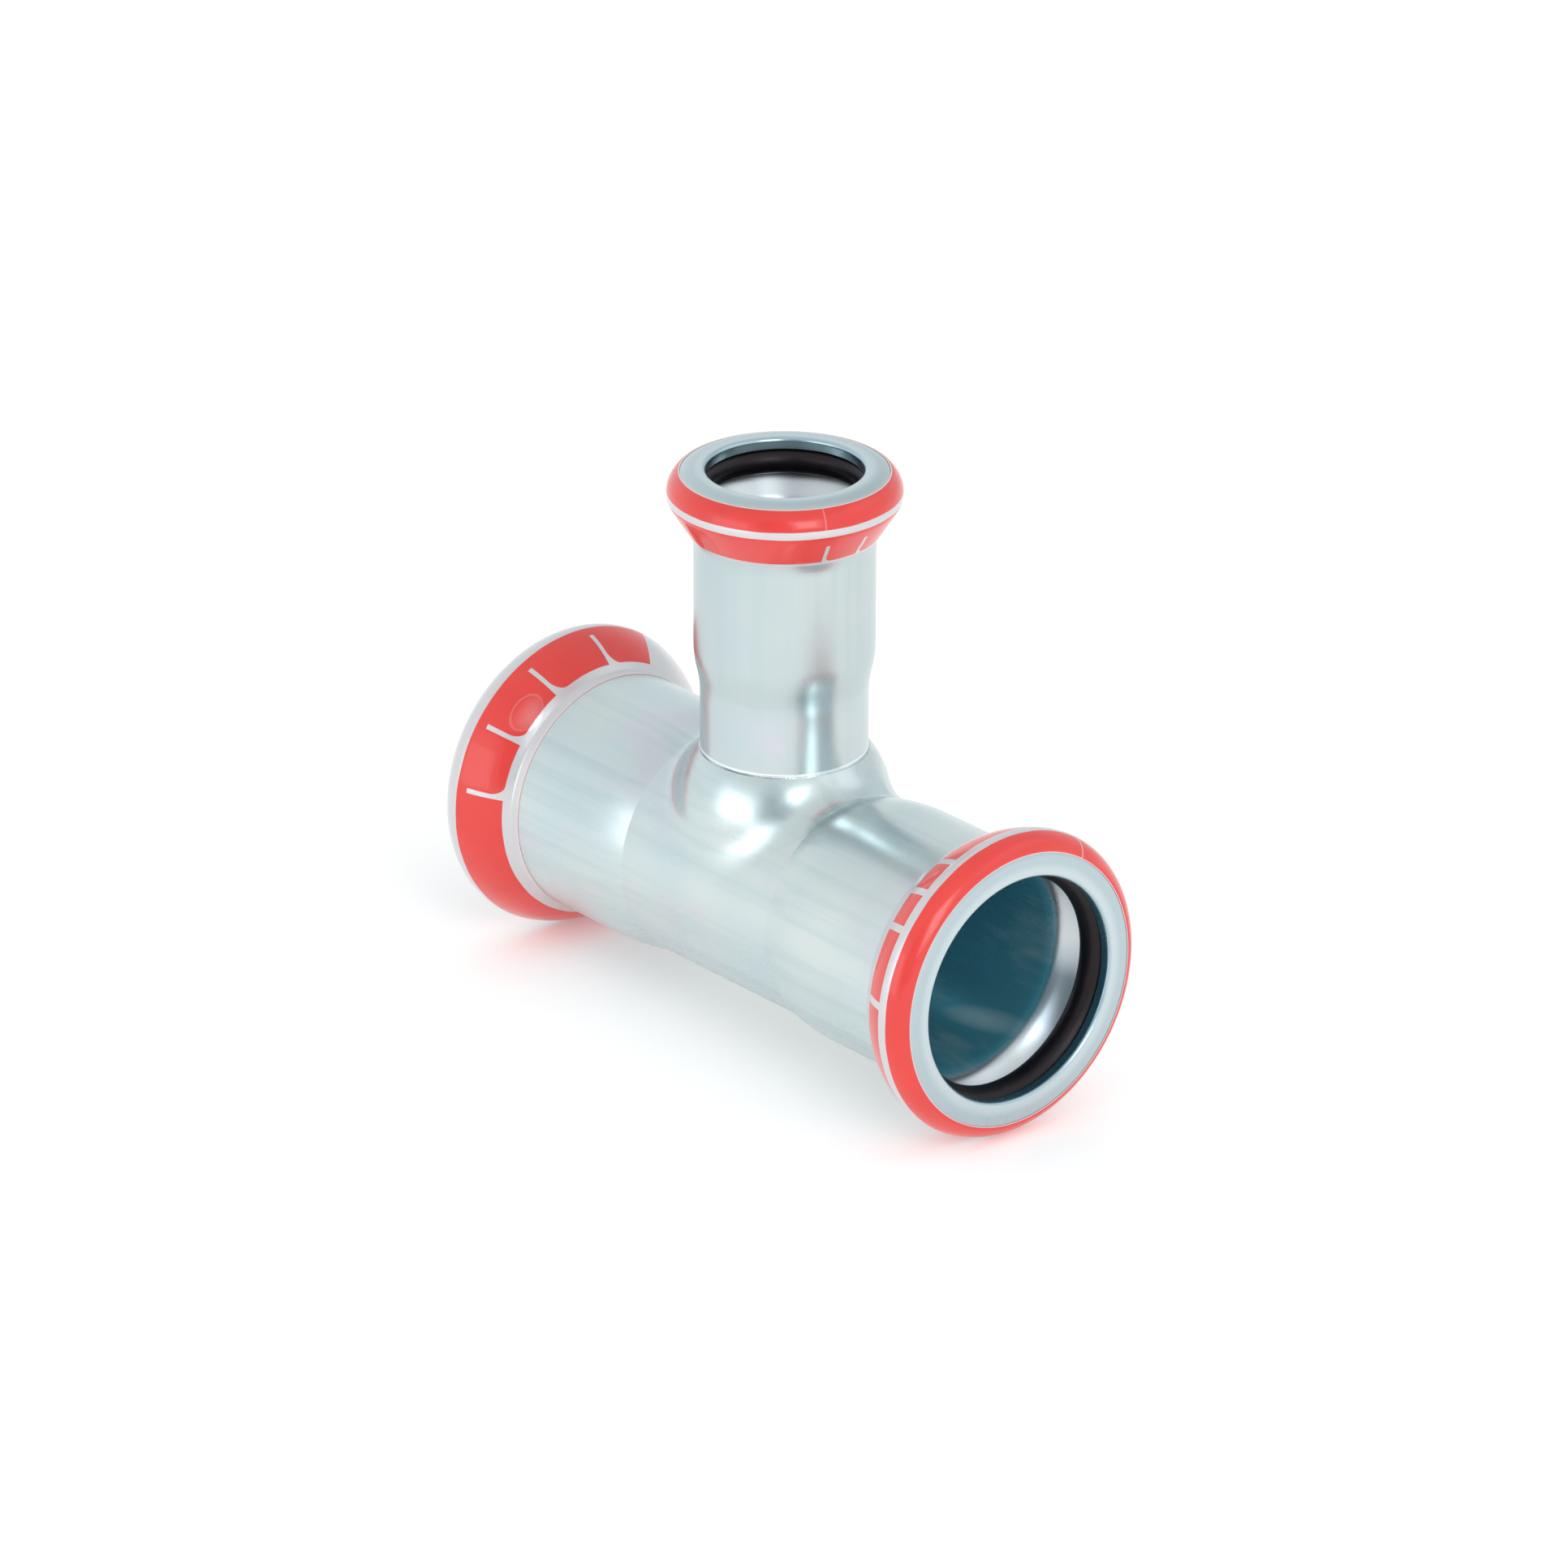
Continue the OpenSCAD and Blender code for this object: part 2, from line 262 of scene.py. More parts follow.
class Bench:
    """Edit-mode work on one mesh at a time, all through Blender's own operators."""

    @staticmethod
    def clear() -> None:
        """Leave edit mode and deselect everything."""
        if bpy.context.mode != "OBJECT":
            bpy.ops.object.mode_set(mode="OBJECT")
        bpy.ops.object.select_all(action="DESELECT")

    @staticmethod
    def ring(name: str, points: Sequence[Vector]) -> bpy.types.Object:
        """Add a circle and lay its corners on the given points, in edit mode.

        Args:
            name: Name of the new object.
            points: One place for each corner.

        Returns:
            The new object, still in edit mode with all selected.
        """
        Bench.clear()
        bpy.ops.mesh.primitive_circle_add(vertices=len(points), radius=1.0)
        piece = bpy.context.object
        piece.name = name
        piece.data.name = name
        bpy.ops.object.mode_set(mode="EDIT")
        mesh = bmesh.from_edit_mesh(piece.data)
        mesh.verts.ensure_lookup_table()
        turn = mesh.verts.layers.int.new("turn")
        for i, point in enumerate(points):
            mesh.verts[i].co = point
            mesh.verts[i][turn] = i
        bmesh.update_edit_mesh(piece.data)
        bpy.ops.mesh.select_all(action="SELECT")
        return piece

    @staticmethod
    def close(piece: bpy.types.Object) -> bpy.types.Object:
        """Merge doubles, turn the faces outwards and leave edit mode."""
        bpy.ops.mesh.select_all(action="SELECT")
        bpy.ops.mesh.remove_doubles(threshold=DOUBLES)
        bpy.ops.mesh.normals_make_consistent(inside=False)
        bpy.ops.object.mode_set(mode="OBJECT")
        return piece

    @staticmethod
    def turn(name: str, profile: Sequence[Point], axis: Axis) -> bpy.types.Object:
        """Spin a closed profile once round a centre line.

        Args:
            name: Name of the new object.
            profile: Closed profile as (radius, height) points.
            axis: Centre line.

        Returns:
            The turned piece, in millimetres.
        """
        piece = Bench.ring(name, [axis.place(p) for p in profile])
        bpy.ops.mesh.spin(steps=TURNS, angle=math.tau, center=(0.0, 0.0, 0.0),
                          axis=axis.direction)
        return Bench.close(piece)

    @staticmethod
    def loft(name: str, rings: Sequence[Sequence[Vector]], capped: bool) -> bpy.types.Object:
        """Extrude a ring of corners from station to station.

        Args:
            name: Name of the new object.
            rings: The stations, each with as many corners as the first.
            capped: Whether both ends are filled; otherwise the last ring meets the first.

        Returns:
            The lofted piece, in millimetres.
        """
        piece = Bench.ring(name, rings[0])
        if capped:
            bpy.ops.mesh.edge_face_add()
        for station in list(rings[1:]) + ([] if capped else [rings[0]]):
            bpy.ops.mesh.extrude_region_move()
            mesh = bmesh.from_edit_mesh(piece.data)
            turn = mesh.verts.layers.int["turn"]
            for corner in mesh.verts:
                if corner.select:
                    corner.co = station[corner[turn]]
            bmesh.update_edit_mesh(piece.data)
        return Bench.close(piece)

    @staticmethod
    def cut(piece: bpy.types.Object, cutter: bpy.types.Object) -> None:
        """Take a cutter out of a piece, and throw the cutter away."""
        Bench.clear()
        bpy.context.view_layer.objects.active = piece
        piece.select_set(True)
        modifier = piece.modifiers.new("cut", "BOOLEAN")
        modifier.operation = "DIFFERENCE"
        modifier.solver = "EXACT"
        modifier.object = cutter
        bpy.ops.object.modifier_apply(modifier=modifier.name)
        bpy.data.objects.remove(cutter, do_unlink=True)

    @staticmethod
    def join(first: bpy.types.Object, second: bpy.types.Object) -> None:
        """Make the second mesh a part of the first."""
        Bench.clear()
        first.select_set(True)
        second.select_set(True)
        bpy.context.view_layer.objects.active = first
        bpy.ops.object.join()

    @staticmethod
    def finish(piece: bpy.types.Object, crease: float = SOFT_CREASE) -> bpy.types.Object:
        """Smooth a piece up to an angle and bring it down to metres.

        Args:
            piece: A piece in millimetres.
            crease: Edges sharper than this stay sharp, in degrees.

        Returns:
            The piece, at the origin and unscaled.
        """
        Bench.clear()
        piece.select_set(True)
        bpy.context.view_layer.objects.active = piece
        for layer in list(piece.data.attributes):
            if layer.name == "turn":
                piece.data.attributes.remove(layer)
        bpy.ops.object.shade_smooth_by_angle(angle=math.radians(crease))
        piece.data.transform(Matrix.Scale(MM, 4))
        piece.data.update()
        return piece


class Signal:
    """A number that varies over a surface, for sums and comparisons in plain Python."""

    def __init__(self, nodes: "Nodes", socket: bpy.types.NodeSocket) -> None:
        """Wrap an output socket of a node tree."""
        self.nodes = nodes
        self.socket = socket

    def _with(self, operation: str, *values: "Signal | float") -> "Signal":
        """Feed this signal and others to one Math node."""
        node = self.nodes.add("ShaderNodeMath", {"operation": operation},
                              {i: v for i, v in enumerate(values)})
        return Signal(self.nodes, node.outputs[0])

    def __add__(self, other: "Signal | float") -> "Signal":
        """Sum."""
        return self._with("ADD", self, other)

    def __radd__(self, other: float) -> "Signal":
        """Sum with a number in front."""
        return self._with("ADD", other, self)

    def __sub__(self, other: "Signal | float") -> "Signal":
        """Difference."""
        return self._with("SUBTRACT", self, other)

    def __rsub__(self, other: float) -> "Signal":
        """Difference from a number."""
        return self._with("SUBTRACT", other, self)

    def __mul__(self, other: "Signal | float") -> "Signal":
        """Product."""
        return self._with("MULTIPLY", self, other)

    def __rmul__(self, other: float) -> "Signal":
        """Product with a number in front."""
        return self._with("MULTIPLY", other, self)

    def __truediv__(self, other: "Signal | float") -> "Signal":
        """Quotient."""
        return self._with("DIVIDE", self, other)

    def __abs__(self) -> "Signal":
        """Size without sign."""
        return self._with("ABSOLUTE", self)

    def least(self, other: "Signal | float") -> "Signal":
        """The smaller of two."""
        return self._with("MINIMUM", self, other)

    def most(self, other: "Signal | float") -> "Signal":
        """The larger of two."""
        return self._with("MAXIMUM", self, other)

    def root(self) -> "Signal":
        """Square root."""
        return self._with("SQRT", self)

    def angle_from(self, other: "Signal") -> "Signal":
        """Angle of the pair (other, self), in radians."""
        return self._with("ARCTAN2", self, other)

    def over(self, start: float, gain: float, limit: float = 1.0) -> "Signal":
        """How far the signal is past a start, times a gain and held between 0 and a limit."""
        return ((self - start) * gain).most(0.0).least(limit)

    def inked(self, soft: float = 0.05) -> "Signal":
        """1 where the signal is above zero, 0 below, with an edge that wide."""
        node = self.nodes.add("ShaderNodeMath",
                              {"operation": "MULTIPLY_ADD", "use_clamp": True},
                              {0: self, 1: 1.0 / soft, 2: 0.5})
        return Signal(self.nodes, node.outputs[0])


class Nodes:
    """Builds the node tree of one material or world."""

    def __init__(self, tree: bpy.types.NodeTree) -> None:
        """Start from an empty tree."""
        self.tree = tree
        tree.nodes.clear()

    def add(self, kind: str, settings: dict | None = None,
            inputs: dict | None = None) -> bpy.types.Node:
        """Add any node.

        Args:
            kind: The node's type.
            settings: Its settings, such as a Math node's operation.
            inputs: Values, signals or sockets by the name or number of the input.

        Returns:
            The node.
        """
        node = self.tree.nodes.new(kind)
        for name, value in (settings or {}).items():
            setattr(node, name, value)
        for name, value in (inputs or {}).items():
            if isinstance(value, Signal):
                value = value.socket
            if isinstance(value, bpy.types.NodeSocket):
                self.tree.links.new(value, node.inputs[name])
            else:
                node.inputs[name].default_value = value
        return node

    def place(self) -> tuple[Signal, Signal, Signal]:
        """Object coordinates in millimetres, as three signals."""
        parts = self.add("ShaderNodeSeparateXYZ", None, {0: self.object_coords()})
        return tuple(Signal(self, parts.outputs[i]) * PER_METRE for i in range(3))

    def object_coords(self) -> bpy.types.NodeSocket:
        """The Object output of a Texture Coordinate node."""
        return self.add("ShaderNodeTexCoord").outputs["Object"]

    def noise(self, scale: Colour, detail: float = 2.0, roughness: float = 0.5,
              turned: Colour = (0.0, 0.0, 0.0)) -> Signal:
        """Noise in object space.

        Args:
            scale: Waves per millimetre along X, Y and Z.
            detail: Octaves.
            roughness: How strong the finer octaves are.
            turned: Shift of the pattern, in waves.

        Returns:
            The noise, about 0.5.
        """
        spread = self.add("ShaderNodeMapping", None, {
            "Vector": self.object_coords(), "Location": turned,
            "Scale": tuple(PER_METRE * s for s in scale)})
        node = self.add("ShaderNodeTexNoise", None, {
            "Vector": spread.outputs[0], "Scale": 1.0, "Detail": detail,
            "Roughness": roughness})
        return Signal(self, node.outputs["Fac"])

    def blend(self, share: Signal | float, first: object, second: object) -> bpy.types.NodeSocket:
        """Mix two colours by a share."""
        node = self.add("ShaderNodeMix", {"data_type": "RGBA"}, {0: share})
        for slot, value in ((6, first), (7, second)):
            if isinstance(value, bpy.types.NodeSocket):
                self.tree.links.new(value, node.inputs[slot])
            else:
                node.inputs[slot].default_value = (*value, 1.0)
        return node.outputs[2]

    def bump(self, height: Signal, depth: float) -> bpy.types.NodeSocket:
        """A normal from a height signal.

        Args:
            height: Height from 0 to 1.
            depth: What a height of 1 stands for, in millimetres.

        Returns:
            The normal output.
        """
        node = self.add("ShaderNodeBump", None,
                        {"Strength": 1.0, "Distance": depth * MM, "Height": height})
        return node.outputs[0]


def material(name: str) -> tuple[bpy.types.Material, Nodes]:
    """Start a material.

    Args:
        name: Name of the material.

    Returns:
        The material and its empty tree.
    """
    made = bpy.data.materials.new(name)
    made.use_nodes = True
    return made, Nodes(made.node_tree)


def surface(nodes: Nodes, inputs: dict) -> None:
    """Close a tree with a Principled shader.

    Args:
        nodes: The tree.
        inputs: Values and links of the shader's sockets.
    """
    shader = nodes.add("ShaderNodeBsdfPrincipled", None, inputs)
    nodes.add("ShaderNodeOutputMaterial", None, {"Surface": shader.outputs[0]})


def dress(piece: bpy.types.Object, finish: bpy.types.Material, node: str) -> bpy.types.Object:
    """Give a piece its material and let it stand for a node of the frame.

    Args:
        piece: The finished piece.
        finish: Its material.
        node: Name of the node that it replaces.

    Returns:
        The piece.
    """
    piece.data.materials.clear()
    piece.data.materials.append(finish)
    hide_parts(node)
    return piece


@dataclass(frozen=True)
class PlatedSteel:
    """Bright zinc plating on drawn steel tube, with the bluish cast of its passivation.

    Depths lie behind the mouth and gaps lie out from the bore's edge, in millimetres. Turns
    are degrees round the run from straight up, as a middle and half of a width.
    """

    name: str
    axis: Axis
    socket: Socket
    rough: float = 0.235
    grain: float = 0.4
    cool: Colour = (0.55, 0.65, 0.665)
    warm: Colour = (0.65, 0.695, 0.68)
    streak: Colour = (0.47, 0.575, 0.60)
    tint: Colour = (0.62, 0.61, 0.67)
    groove: Colour = (0.60, 0.64, 0.66)
    # painted shade on one side of the groove
    painted_shade: Colour = (0.24, 0.29, 0.33)
    # painted shade deep inside the bore and the waterway, in a dark teal
    deep: Colour = (0.11, 0.40, 0.50)
    # random mottling inside, and a painted patch of reflected light
    mottle_and_reflection: Colour = (0.38, 0.60, 0.67)
    lip: Colour = (0.40, 0.53, 0.58)
    face_inner: Colour = (0.57, 0.65, 0.67)
    face_outer: Colour = (0.47, 0.56, 0.59)
    bright: Colour = (0.72, 0.75, 0.77)
    face_depth: float = 0.28
    face_ring: float = 1.15
    lip_gap: float = 0.28
    lip_depth: float = 2.2
    groove_wall: float = 0.65
    groove_lean: float = 0.55
    groove_span: Point = (2.6, 8.4)
    bore_start: float = 7.2
    collar_side: Point = (9.75, 11.0)
    collar_lean: float = 0.6
    shadow_turn: Point = (121.0, 30.0)
    # where the painted patch of reflected light lies, round and along the run
    reflection_turn: Point = (146.5, 8.0)
    reflection_along: Point = (24.0, 6.0)
    reflection_lean: float = 0.65
    dressed: float = 21.8
    neck_top: float = 24.5
    saddle_low: float = 9.0
    saddle_span: Point = (11.6, 23.0)

    def _reach(self, nodes: Nodes) -> tuple[Signal, Signal, Signal, Signal]:
        """Measure from the mouths.

        Args:
            nodes: The tree.

        Returns:
            Height, distance from the branch's centre line, distance from the piece's own
            centre line, and depth behind its nearest mouth, in millimetres.
        """
        x, y, z = nodes.place()
        from_branch = (x * x + y * y).root()
        if self.axis is Axis.BRANCH:
            return z, from_branch, from_branch, self.socket.mouth - z
        return z, from_branch, (y * y + z * z).root(), self.socket.mouth - abs(x)

    def _mouth(self, nodes: Nodes, base: bpy.types.NodeSocket) -> bpy.types.NodeSocket:
        """Colour the flat of the mouth and the rounded lip inside it.

        Args:
            nodes: The tree.
            base: Colour of the outside.

        Returns:
            The colour.
        """
        _, _, reach, depth = self._reach(nodes)
        edge = self.socket.bore + self.socket.lead_in
        ring = (reach - (edge + self.face_ring)).inked(0.7)
        face = nodes.blend(ring, self.face_inner, self.face_outer)
        base = nodes.blend((self.face_depth - depth).inked(0.2), base, face)
        lip = (edge + self.lip_gap - reach).least(self.lip_depth - depth).inked(0.2)
        return nodes.blend(lip, base, self.lip)

    def _groove(self, nodes: Nodes, base: bpy.types.NodeSocket) -> bpy.types.NodeSocket:
        """Colour the groove, with painted shade on one side of it.

        Args:
            nodes: The tree.
            base: Colour of mouth and outside.

        Returns:
            The colour.
        """
        _, _, reach, depth = self._reach(nodes)
        first, last = self.groove_span
        outer = self.socket.tube + self.socket.rise - self.groove_wall
        groove = outer - (depth - self.socket.nose) * self.groove_lean - reach
        groove = groove.least(depth - first).least(last - depth).inked(0.2)
        # painted shade: a darker colour over a span of turns on one side of the groove
        middle, half = self.shadow_turn
        painted_shade = (1.0 - abs(self._turned(nodes) - middle) / half).over(0.0, 1.4, 0.9)
        return nodes.blend(groove, base, nodes.blend(painted_shade, self.groove, self.painted_shade))

    @staticmethod
    def _turned(nodes: Nodes) -> Signal:
        """Degrees round the run from straight up, alike on both sides."""
        _, y, z = nodes.place()
        return abs(y.angle_from(z)) * math.degrees(1.0)

    def _bore(self, nodes: Nodes, base: bpy.types.NodeSocket) -> tuple[
            bpy.types.NodeSocket, Signal]:
        """Paint shade into the bore and the waterway, with a painted patch of reflected light.

        Args:
            nodes: The tree.
            base: Colour of all the rest.

        Returns:
            The colour, and 1 where the surface is deep inside.
        """
        z, from_branch, reach, depth = self._reach(nodes)
        if self.axis is Axis.BRANCH:
            deep = (self.socket.bore - 0.3 - reach).inked(0.3)
        else:
            side, foot = self.collar_side
            collar = ((side - (z - foot).most(0.0) * self.collar_lean) - from_branch).least(z)
            deep = (self.socket.bore + 0.35 - reach).least(depth - self.bore_start)
            deep = deep.most(collar).inked(0.35)
        # random mottling, and a painted patch of reflected light at one place
        drift = nodes.noise((0.05, 0.19, 0.19), 3.0, 0.65, turned=(2.0, 6.0, 4.0))
        middle, half = self.reflection_along
        turn, width = self.reflection_turn
        along = (nodes.place()[0] - middle) / half
        aside = (self._turned(nodes) - turn) / width + along * self.reflection_lean
        painted_reflection = (1.0 - along * along - aside * aside).most(0.0)
        mottle_and_reflection = drift.over(0.50, 4.5).most(painted_reflection)
        # painted shade: dark teal deep inside, paler in the mottling and in the painted
        # reflection
        return nodes.blend(deep, base, nodes.blend(mottle_and_reflection, self.deep, self.mottle_and_reflection)), deep

    def _worked(self, nodes: Nodes) -> tuple[Signal, Signal]:
        """Tell where forming has smoothed the steel.

        Args:
            nodes: The tree.

        Returns:
            How polished it is, and how much of the drawing lines and the grain is left.
        """
        z, from_branch, reach, depth = self._reach(nodes)
        outside = (depth - 0.8).inked(0.5)
        if self.axis is Axis.BRANCH:
            inside = (self.socket.bore + 0.4 - reach).inked(0.2)
            return (self.neck_top - z).inked(4.0) + inside, outside * (1.0 - inside)
        near, far = self.saddle_span
        polish = (z - self.saddle_low).least(far - from_branch).least(from_branch - near)
        polish = polish.inked(7.0)
        return polish, outside * (1.0 - polish * 0.9)

    def make(self) -> bpy.types.Material:
        """Build the material.

        Returns:
            A metal with cloudy tints, faint drawing lines and a fine grain.
        """
        made, nodes = material(self.name)
        clouds = nodes.noise((0.07, 0.07, 0.07), 3.0)
        blush = nodes.noise((0.12, 0.05, 0.12), 2.0, turned=(7.0, 3.0, 1.0))
        along, across = 0.03, 1.6
        lines = ((along, across, across) if self.axis is Axis.RUN
                 else (across, across, along))
        drawn = nodes.noise(lines, 2.0, 0.6)
        broad = tuple(0.35 * wave for wave in lines)
        streaks = nodes.noise(broad, 3.0, 0.62, turned=(1.0, 9.0, 4.0))
        grain = nodes.noise((6.0, 6.0, 6.0), 2.0)
        base = nodes.blend((clouds - 0.35) * 2.5, self.cool, self.warm)
        base = nodes.blend(blush.over(0.56, 4.0, 0.6), base, self.tint)
        base = nodes.blend(streaks.over(0.48, 2.6, 0.5), base, self.streak)
        if self.axis is Axis.BRANCH:
            off = nodes.place()[2] - self.dressed
            base = nodes.blend((off * -1.0).inked(0.4) * 0.14, base, self.bright)
            base = nodes.blend((0.10 - abs(off)).inked(0.16) * 0.30, base, self.streak)
        polish, plain = self._worked(nodes)
        base, deep = self._bore(nodes, self._groove(nodes, self._mouth(nodes, base)))
        height = (drawn * 0.6 + grain * self.grain) * (plain - deep).most(0.0)
        surface(nodes, {
            "Base Color": base, "Metallic": 1.0 - deep * 0.45,
            "Roughness": self.rough - polish * 0.03 + clouds * 0.06 + drawn * 0.03,
            "Specular IOR Level": 0.6,
            "Normal": nodes.bump(height, 0.0009)})
        return made


@dataclass(frozen=True)
class WeldBead:
    """A narrow fused seam with fine ripples."""

    name: str = "weld"
    pale: Colour = (0.84, 0.88, 0.89)
    dark_toe: Colour = (0.20, 0.22, 0.25)
    toe: float = WELD_HEIGHT - 0.06

    def make(self) -> bpy.types.Material:
        """Build the material.

        Returns:
            A pale metal with short darker pieces at its lower toe, and ripples round it.
        """
        made, nodes = material(self.name)
        _, _, z = nodes.place()
        wander = nodes.noise((0.5, 0.5, 0.5), 2.0)
        # darker pieces at the lower toe, below the bead
        toe = ((self.toe + (wander - 0.5) * 0.16) - z).inked(0.08)
        pieces = nodes.noise((0.16, 0.16, 0.02), 1.0, turned=(4.0, 1.0, 2.0))
        toe = toe * (pieces - 0.58).inked(0.10) * 0.8
        ripples = nodes.noise((3.4, 3.4, 1.0), 1.0)
        surface(nodes, {
            "Base Color": nodes.blend(toe, self.pale, self.dark_toe), "Metallic": 1.0,
            "Roughness": 0.29 + toe * 0.15,
            "Normal": nodes.bump(ripples, 0.05)})
        return made


@dataclass(frozen=True)
class SealRubber:
    """Black sealing rubber with a satin skin."""

    name: str = "seal"
    dark: Colour = (0.003, 0.002, 0.003)
    worn: Colour = (0.010, 0.006, 0.008)

    def make(self) -> bpy.types.Material:
        """Build the material.

        Returns:
            A nearly black rubber with a soft sheen and a fine moulded grain.
        """
        made, nodes = material(self.name)
        cloud = nodes.noise((0.5, 0.5, 0.5), 3.0)
        grain = nodes.noise((9.0, 9.0, 9.0), 2.0)
        surface(nodes, {
            "Base Color": nodes.blend(cloud, self.dark, self.worn),
            "Roughness": 0.26 + cloud * 0.18,
            "Specular IOR Level": 0.30, "Specular Tint": (1.0, 0.90, 0.93, 1.0),
            "Normal": nodes.bump(grain * 0.3 + cloud * 0.7, 0.07)})
        return made


@dataclass(frozen=True)
class Print:
    """Where one film band is printed, in millimetres behind the mouth and degrees round it.

    A front field and a rear field are red. Ticks cut the rear field, and a stretch of it may
    be bare. The film's end is joined at the seam, and a blister is where it stands off.
    """

    front_end: float
    rear_start: float
    rear_end: float
    ticks: tuple[float, ...]
    tick_start: float
    tick_width: float
    corner: float
    seam: float
    rim: float
    end: float
    radius: float = 15.2
    bare: Point | None = None
    seam_ink: float = 0.7
    blister: Point | None = None
    blister_size: Point = (1.3, 2.6)


FRONT_PRINT = Print(front_end=1.9, rear_start=2.93, rear_end=5.4,
                    ticks=(-23.6, -38.8, -54.3, -83.0, 118.0, 146.0), tick_start=2.9,
                    tick_width=0.75, corner=0.0, seam=33.5, rim=14.33, end=7.4)
BACK_PRINT = Print(front_end=0.8, rear_start=2.86, rear_end=7.4,
                   ticks=(4.0, -26.6, -53.9, -79.5, 146.0, 118.0), tick_start=4.0,
                   tick_width=0.5, corner=1.25, seam=150.0, rim=14.33, end=9.0,
                   bare=(27.0, 87.0), blister=(6.45, -41.5))
BRANCH_PRINT = Print(front_end=2.32, rear_start=3.09, rear_end=6.45,
                     ticks=(-17.5, 6.0, 31.0, 120.0, 146.0), tick_start=4.3,
                     tick_width=0.4, corner=0.6, seam=-20.0, rim=10.62, end=6.8,
                     radius=10.9, seam_ink=0.25)


@dataclass(frozen=True)
class PrintedFilm:
    """Glossy film with a red print; where it is bare, the steel shows through it."""

    name: str
    mouth: Mouth
    layout: Print
    red: Colour = (0.76, 0.046, 0.036)
    deep: Colour = (0.63, 0.030, 0.026)
    bare: Colour = (0.61, 0.60, 0.61)
    # pale colour of the film's cut edge and seam, also used to paint the highlight on the blister
    edge: Colour = (0.73, 0.55, 0.55)
    hem_width: float = 0.16
    hem_depth: float = 1.6
    seam_half: float = 0.07
    bare_slant: float = 1.4

    def _round(self, nodes: Nodes) -> tuple[Signal, Signal]:
        """Depth behind the mouth and angle round it.

        Args:
            nodes: The tree.

        Returns:
            Depth in millimetres and angle in degrees.
        """
        x, y, z = nodes.place()
        if self.mouth is Mouth.BRANCH:
            return BRANCH_SOCKET.mouth - z, y.angle_from(x) * math.degrees(1.0)
        return RUN_SOCKET.mouth - abs(x), y.angle_from(z) * math.degrees(1.0)

    def _reach(self, nodes: Nodes) -> Signal:
        """Distance from the mouth's own centre line."""
        x, y, z = nodes.place()
        if self.mouth is Mouth.BRANCH:
            return (x * x + y * y).root()
        return (y * y + z * z).root()

    def _ticks(self, depth: Signal, angle: Signal) -> Signal:
        """The bars, and the rounded corners beside them, that stay bare.

        Args:
            depth: Depth behind the mouth.
            angle: Angle round it in degrees.

        Returns:
            1 where the rear field is left bare.
        """
        plan = self.layout
        half = plan.tick_width / 2.0
        bare: Signal | None = None
        for place in plan.ticks:
            off = (angle - place) * math.radians(plan.radius)
            bar = (half - abs(off)).least(depth - plan.tick_start).inked()
            if plan.corner:
                over = off - (half + plan.corner)
                down = depth - (plan.rear_end - plan.corner)
                away = (over * over + down * down).root() - plan.corner
                corner = away.least(over * -1.0).least(off).least(down)
                bar = bar.most(corner.inked())
            bare = bar if bare is None else bare.most(bar)
        return bare

    def make(self) -> bpy.types.Material:
        """Build the material.

        Returns:
            Red and bare film under one glossy coat, with small wrinkles.
        """
        made, nodes = material(self.name)
        plan = self.layout
        depth, angle = self._round(nodes)
        shake = (nodes.noise((0.35, 0.35, 0.35), 2.0) - 0.5) * 0.12
        front = (plan.front_end + shake - depth).inked()
        rear = (depth - plan.rear_start + shake).least(plan.rear_end + shake - depth).inked()
        rear = rear * (1.0 - self._ticks(depth, angle))
        if plan.bare:
            low, high = plan.bare
            slant = (depth - plan.rear_end) * self.bare_slant
            rear = rear * (1.0 - (angle - low + slant).least(high - angle).inked(0.25))
        ink = front.most(rear)
        seam = self.seam_half - abs(angle - plan.seam) * math.radians(plan.radius)
        seam = seam.inked(0.06) * (plan.front_end + 0.1 - depth).inked()
        rim = (plan.rim - self._reach(nodes)).least(self.hem_depth - depth)
        hem = rim.most(depth - (plan.end - self.hem_width)).inked(0.05)
        red = nodes.blend(nodes.noise((0.16, 0.16, 0.16), 2.0), self.red, self.deep)
        red = nodes.blend(seam * plan.seam_ink, red, self.edge)
        base = nodes.blend(hem, nodes.blend(ink, self.bare, red), self.edge)
        wrinkles = nodes.noise((0.9, 0.9, 0.9), 3.0, turned=(3.0, 5.0, 2.0))
        waves = nodes.noise((0.22, 0.22, 0.22), 1.0, turned=(5.0, 1.0, 3.0))
        height = wrinkles * 0.2 + waves * 0.8
        if plan.blister:
            lift, painted_sheen = self._blister(depth, angle)
            height = height + lift
            # painted highlight on the blister, in the pale edge colour
            base = nodes.blend(painted_sheen * ink, base, self.edge)
        surface(nodes, {
            "Base Color": base,
            "Metallic": (1.0 - ink.most(hem)) * 0.6,
            "Roughness": 0.36,
            "Specular IOR Level": 0.25,
            "Coat Weight": 0.75, "Coat Roughness": 0.07, "Coat IOR": 1.46,
            "Normal": nodes.bump(height, 0.10)})
        return made

    def _blister(self, depth: Signal, angle: Signal) -> tuple[Signal, Signal]:
        """The place where the film stands off the bead, and its painted highlight.

        Args:
            depth: Depth behind the mouth.
            angle: Angle round it in degrees.

        Returns:
            How far the film is lifted, and how strong its painted highlight is there.
        """
        plan = self.layout
        middle, turn = plan.blister
        deep, wide = plan.blister_size
        down = (depth - middle) / deep
        aside = (angle - turn) * math.radians(plan.radius) / wide
        lift = (1.0 - down * down - aside * aside).most(0.0)
        # painted highlight: a pale ring near the blister's rim and a paler lower part
        rim_light = (0.16 - abs(lift - 0.28)) * 3.0
        painted_sheen = (lift * (down * 0.5 + 0.4)).most(rim_light).most(0.0)
        return lift * 1.8, painted_sheen * 0.38


